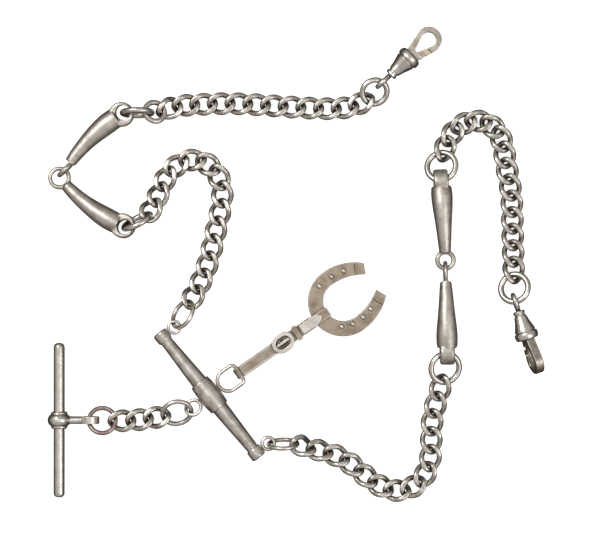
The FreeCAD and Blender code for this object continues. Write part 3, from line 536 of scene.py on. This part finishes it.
class CHAIN_OT_fob(bpy.types.Operator):
    """Eases the fob's strap and buckle, the horseshoe and its nails."""
    bl_idname = "chain.fob"
    bl_label = "Horseshoe fob"

    def execute(self, context):
        eased("fob_strap", "strap", 0.00012)
        eased("fob_buckle", "fob", 0.00018)
        eased("fob_prong", "fob", 0.0001)
        eased("fob_keeper", "strap", 0.00012)
        eased("fob_tongue", "fob", 0.00012)
        eased("horseshoe", "shoe", 0.00022)
        eased("horseshoe_nails", "fob", 0.00006)
        # a dark dish in the buckle's hollow: painted shade
        points, tris = solids_of("fob_buckle")[0]
        centre, axes = main_axes(points, tris)
        centre = centre * [1, 1, 0] + np.array([0, 0, points[:, 2].min() + DISH_LIFT])
        up = axes[2] * np.sign(axes[2, 2])
        flat = np.array([axes[0], np.cross(up, axes[0]), up])
        dish = dish_shell(centre, flat)
        make_piece("fob_buckle.dish", [dish], "fob_buckle", metals()["strap"], stands_in=False)
        return {"FINISHED"}


# ---- metals --------------------------------------------------------------------------------
_metals = {}


def ramp(nodes, stops):
    """A colour ramp with a stop for each (position, colour)."""
    node = nodes.new("ShaderNodeValToRGB")
    elements = node.color_ramp.elements
    for k, (at, colour) in enumerate(stops):
        element = elements[k] if k < 2 else elements.new(at)
        element.position = at
        element.color = (*colour, 1.0)
    return node


def product(nodes, links, left, right):
    """A node that multiplies an output by another output or by a number."""
    node = nodes.new("ShaderNodeMath")
    node.operation = "MULTIPLY"
    links.new(left, node.inputs[0])
    if isinstance(right, float):
        node.inputs[1].default_value = right
    else:
        links.new(right, node.inputs[1])
    return node.outputs["Value"]


def grey(value):
    return (value, value, value)


def make_metal(name, base, skin, bright, tarnish_and_shade, rough=(0.2, 0.36), skin_share=0.35,
               scratches=0.5, deep=0.85, edge=0.6, grain=(1.0, 1.0, 1.0)):
    """A worn metal: clouds of a second colour over the base, bright along its edges, a near-black mix of
    dark oxide and painted shade where the surface is shut in or marked so, roughness that follows the
    clouds, and fine scratches."""
    metal = bpy.data.materials.new(name)
    metal.use_nodes = True
    tree = metal.node_tree
    nodes, links = tree.nodes, tree.links
    shader = nodes["Principled BSDF"]
    shader.inputs["Metallic"].default_value = 1.0
    place = nodes.new("ShaderNodeTexCoord")
    clouds = nodes.new("ShaderNodeTexNoise")
    clouds.inputs["Scale"].default_value = 420.0
    clouds.inputs["Detail"].default_value = 6.0
    clouds.inputs["Roughness"].default_value = 0.62
    links.new(place.outputs["Object"], clouds.inputs["Vector"])
    share = ramp(nodes, [(0.42, grey(0.0)), (0.62, grey(1.0))])
    links.new(clouds.outputs["Fac"], share.inputs["Fac"])
    body = nodes.new("ShaderNodeMixRGB")
    body.inputs["Color1"].default_value = (*base, 1.0)
    body.inputs["Color2"].default_value = (*skin, 1.0)
    links.new(product(nodes, links, share.outputs["Color"], skin_share), body.inputs["Fac"])
    shape = nodes.new("ShaderNodeNewGeometry")
    rounded = nodes.new("ShaderNodeBevel")
    rounded.samples = 6
    rounded.inputs["Radius"].default_value = 0.0004
    agree = nodes.new("ShaderNodeVectorMath")
    agree.operation = "DOT_PRODUCT"
    links.new(shape.outputs["Normal"], agree.inputs[0])
    links.new(rounded.outputs["Normal"], agree.inputs[1])
    rubbed = ramp(nodes, [(0.9, grey(1.0)), (0.99, grey(0.0))])
    links.new(agree.outputs["Value"], rubbed.inputs["Fac"])
    edged = nodes.new("ShaderNodeMixRGB")
    edged.inputs["Color2"].default_value = (*bright, 1.0)
    links.new(product(nodes, links, rubbed.outputs["Color"], edge), edged.inputs["Fac"])
    links.new(body.outputs["Color"], edged.inputs["Color1"])
    # painted shade: ambient occlusion darkens the surface where it is shut in, by its own folds or by
    # other parts
    shut = nodes.new("ShaderNodeAmbientOcclusion")
    shut.samples = 8
    shut.inputs["Distance"].default_value = 0.0011
    occlusion_shade = ramp(nodes, [(0.18, grey(1.0)), (0.8, grey(0.0))])
    links.new(shut.outputs["AO"], occlusion_shade.inputs["Fac"])
    marked = nodes.new("ShaderNodeAttribute")
    marked.attribute_name = "tarnish_and_shade"
    most = nodes.new("ShaderNodeMath")
    most.operation = "MAXIMUM"
    links.new(occlusion_shade.outputs["Color"], most.inputs[0])
    links.new(marked.outputs["Fac"], most.inputs[1])
    uneven = nodes.new("ShaderNodeTexNoise")
    uneven.inputs["Scale"].default_value = 1700.0
    uneven.inputs["Detail"].default_value = 3.0
    links.new(place.outputs["Object"], uneven.inputs["Vector"])
    broken = ramp(nodes, [(0.25, grey(0.55)), (0.6, grey(1.0))])
    links.new(uneven.outputs["Fac"], broken.inputs["Fac"])
    patchy = product(nodes, links, most.outputs["Value"], broken.outputs["Color"])
    held = product(nodes, links, patchy, deep)
    # mixes in the near-black colour, dark oxide and painted shade together, as far as the marks above
    # reach
    final = nodes.new("ShaderNodeMixRGB")
    final.inputs["Color2"].default_value = (*tarnish_and_shade, 1.0)
    links.new(held, final.inputs["Fac"])
    links.new(edged.outputs["Color"], final.inputs["Color1"])
    links.new(final.outputs["Color"], shader.inputs["Base Color"])
    gloss = nodes.new("ShaderNodeMapRange")
    gloss.inputs["To Min"].default_value = rough[0]
    gloss.inputs["To Max"].default_value = rough[1]
    links.new(clouds.outputs["Fac"], gloss.inputs["Value"])
    dull = nodes.new("ShaderNodeMath")
    dull.operation = "ADD"
    dull.use_clamp = True
    links.new(gloss.outputs["Result"], dull.inputs[0])
    links.new(product(nodes, links, held, 0.3), dull.inputs[1])
    links.new(dull.outputs["Value"], shader.inputs["Roughness"])
    stretch = nodes.new("ShaderNodeMapping")
    stretch.inputs["Scale"].default_value = grain
    links.new(place.outputs["Object"], stretch.inputs["Vector"])
    lines = nodes.new("ShaderNodeTexNoise")
    lines.inputs["Scale"].default_value = 2600.0
    lines.inputs["Detail"].default_value = 5.0
    links.new(stretch.outputs["Vector"], lines.inputs["Vector"])
    bump = nodes.new("ShaderNodeBump")
    bump.inputs["Strength"].default_value = scratches
    bump.inputs["Distance"].default_value = 0.00005
    links.new(lines.outputs["Fac"], bump.inputs["Height"])
    links.new(bump.outputs["Normal"], shader.inputs["Normal"])
    return metal


def metals():
    """Every finish of the chain by name, made at the first call."""
    if _metals:
        return _metals
    tints = bpy.context.scene.chain_metals
    silver, bright, tarnish_and_shade = tuple(tints.silver), tuple(tints.bright), tuple(tints.tarnish_and_shade)
    patina, brass = tuple(tints.patina), tuple(tints.brass)

    def add(key, name, base=silver, skin=patina, **rest):
        _metals[key] = make_metal(name, base, skin, bright, tarnish_and_shade, **rest)

    add("link", "curb link silver", rough=(0.2, 0.36), skin_share=0.5, scratches=0.5, deep=0.97)
    add("ring", "jump ring silver", rough=(0.19, 0.34), skin_share=0.35, scratches=0.4)
    add("old_ring", "warm tarnished ring", base=(0.55, 0.44, 0.36), skin=(0.30, 0.20, 0.22),
        rough=(0.28, 0.44), skin_share=0.8)
    add("bar", "turned bar silver", rough=(0.24, 0.42), skin_share=0.55, scratches=0.9)
    add("tbar", "T-bar silver", rough=(0.17, 0.36), skin_share=0.35, scratches=0.4)
    add("bit", "satin bit silver", base=(0.62, 0.58, 0.53), rough=(0.34, 0.5), skin_share=0.5,
        scratches=1.0, edge=0.3, grain=(1.0, 0.3, 1.0))
    add("clip", "dog clip silver", rough=(0.18, 0.32), skin_share=0.3, scratches=0.3)
    add("clip_loop", "dog clip loop silver", base=(0.52, 0.47, 0.41), rough=(0.28, 0.42),
        skin_share=0.75)
    add("gate", "sprung gate metal", base=brass, skin=(0.40, 0.31, 0.2), rough=(0.2, 0.34))
    add("fob", "fob silver", rough=(0.24, 0.38), skin_share=0.35)
    add("strap", "strap silver", base=(0.42, 0.35, 0.28), skin=(0.26, 0.20, 0.145),
        rough=(0.32, 0.46), skin_share=0.8, edge=1.0)
    add("shoe", "horseshoe silver", base=(0.42, 0.35, 0.28), skin=(0.25, 0.19, 0.14),
        rough=(0.3, 0.46), skin_share=0.9, edge=1.0)
    return _metals


# ---- stage -----------------------------------------------------------------------------------
def softbox(name, place, size, power):
    """A rectangular lamp that looks at the middle of the table."""
    light = bpy.data.lights.new(name, "AREA")
    light.shape, light.size, light.size_y, light.energy = "RECTANGLE", size[0], size[1], power
    lamp = bpy.data.objects.new(name, light)
    lamp.location = place
    lamp.rotation_euler = (-Vector(place)).to_track_quat("-Z", "Y").to_euler()
    bpy.context.collection.objects.link(lamp)


def room():
    """The room's light: dark below the table's edge, brighter towards the ceiling."""
    world = bpy.data.worlds.new("room")
    world.use_nodes = True
    nodes, links = world.node_tree.nodes, world.node_tree.links
    facing = nodes.new("ShaderNodeTexCoord")
    split = nodes.new("ShaderNodeSeparateXYZ")
    links.new(facing.outputs["Generated"], split.inputs["Vector"])
    rise = nodes.new("ShaderNodeMapRange")
    rise.inputs["From Min"].default_value = -1.0
    links.new(split.outputs["Z"], rise.inputs["Value"])
    walls = ramp(nodes, [(0.0, (0.05, 0.042, 0.036)), (1.0, (0.56, 0.555, 0.54)),
                         (0.45, (0.10, 0.09, 0.08)), (0.6, (0.44, 0.43, 0.41))])
    links.new(rise.outputs["Result"], walls.inputs["Fac"])
    links.new(walls.outputs["Color"], nodes["Background"].inputs["Color"])
    return world


class CHAIN_OT_stage(bpy.types.Operator):
    """Lays the pale table, the softboxes, the room's light and the camera."""
    bl_idname = "chain.stage"
    bl_label = "Stage"

    def execute(self, context):
        sizes = context.scene.chain_stage
        low, high = np.array(MODEL_BOX[0]), np.array(MODEL_BOX[1])
        middle = (low + high) / 2
        half, top = TABLE_HALF, low[2] - TABLE_GAP
        mesh = bpy.data.meshes.new("table")
        mesh.from_pydata([(-half, -half, top), (half, -half, top), (half, half, top), (-half, half, top)],
                         [], [(0, 1, 2, 3)])
        table = bpy.data.objects.new("table", mesh)
        bpy.context.collection.objects.link(table)
        paint = bpy.data.materials.new("pale table")
        paint.use_nodes = True
        shader = paint.node_tree.nodes["Principled BSDF"]
        shader.inputs["Base Color"].default_value = (*sizes.table, 1.0)
        shader.inputs["Roughness"].default_value = 0.9
        shader.inputs["Emission Color"].default_value = (*sizes.table, 1.0)
        shader.inputs["Emission Strength"].default_value = 0.75
        mesh.materials.append(paint)
        table.visible_glossy = False
        context.scene.world = room()
        softbox("key softbox", (-0.45, 0.35, 0.75), (0.4, 0.5), 3.6)
        softbox("fill softbox", (0.55, -0.25, 0.7), (0.4, 0.6), 1.8)
        softbox("overhead softbox", (0.0, 0.1, 1.1), (0.6, 0.6), 0.5)
        lens = bpy.data.cameras.new("camera")
        lens.sensor_width = 36.0
        lens.lens = 36.0 * sizes.lens_height / sizes.frame_width
        lens.clip_start, lens.clip_end = 0.01, 20.0
        camera = bpy.data.objects.new("camera", lens)
        camera.location = (middle[0] + sizes.off_x, middle[1] + sizes.off_y, low[2] + sizes.lens_height)
        bpy.context.collection.objects.link(camera)
        context.scene.camera = camera
        context.scene.view_settings.view_transform = "Standard"
        return {"FINISHED"}


class CHAIN_PT_panel(bpy.types.Panel):
    """Lists the pieces in the sidebar."""
    bl_idname = "CHAIN_PT_panel"
    bl_label = "Watch chain"
    bl_space_type = "VIEW_3D"
    bl_region_type = "UI"
    bl_category = "Chain"

    def draw(self, context):
        column = self.layout.column(align=True)
        for step in STEPS:
            column.operator(step.bl_idname)
        for group in (context.scene.chain_sizes, context.scene.chain_metals, context.scene.chain_stage):
            for key in group.bl_rna.properties.keys():
                if key not in ("rna_type", "name"):
                    column.prop(group, key)


GROUPS = (ChainSizes, ChainMetals, StageSizes)
STEPS = (CHAIN_OT_links, CHAIN_OT_rings, CHAIN_OT_bar, CHAIN_OT_tee, CHAIN_OT_bits, CHAIN_OT_clips,
         CHAIN_OT_fob, CHAIN_OT_stage)


def register():
    for cls in (*GROUPS, *STEPS, CHAIN_PT_panel):
        bpy.utils.register_class(cls)
    bpy.types.Scene.chain_sizes = bpy.props.PointerProperty(type=ChainSizes)
    bpy.types.Scene.chain_metals = bpy.props.PointerProperty(type=ChainMetals)
    bpy.types.Scene.chain_stage = bpy.props.PointerProperty(type=StageSizes)


def unregister():
    del bpy.types.Scene.chain_stage
    del bpy.types.Scene.chain_metals
    del bpy.types.Scene.chain_sizes
    for cls in reversed((*GROUPS, *STEPS, CHAIN_PT_panel)):
        bpy.utils.unregister_class(cls)


def main():
    register()
    for step in STEPS:
        group, _, call = step.bl_idname.partition(".")
        getattr(getattr(bpy.ops, group), call)()


if __name__ == "__main__":
    main()
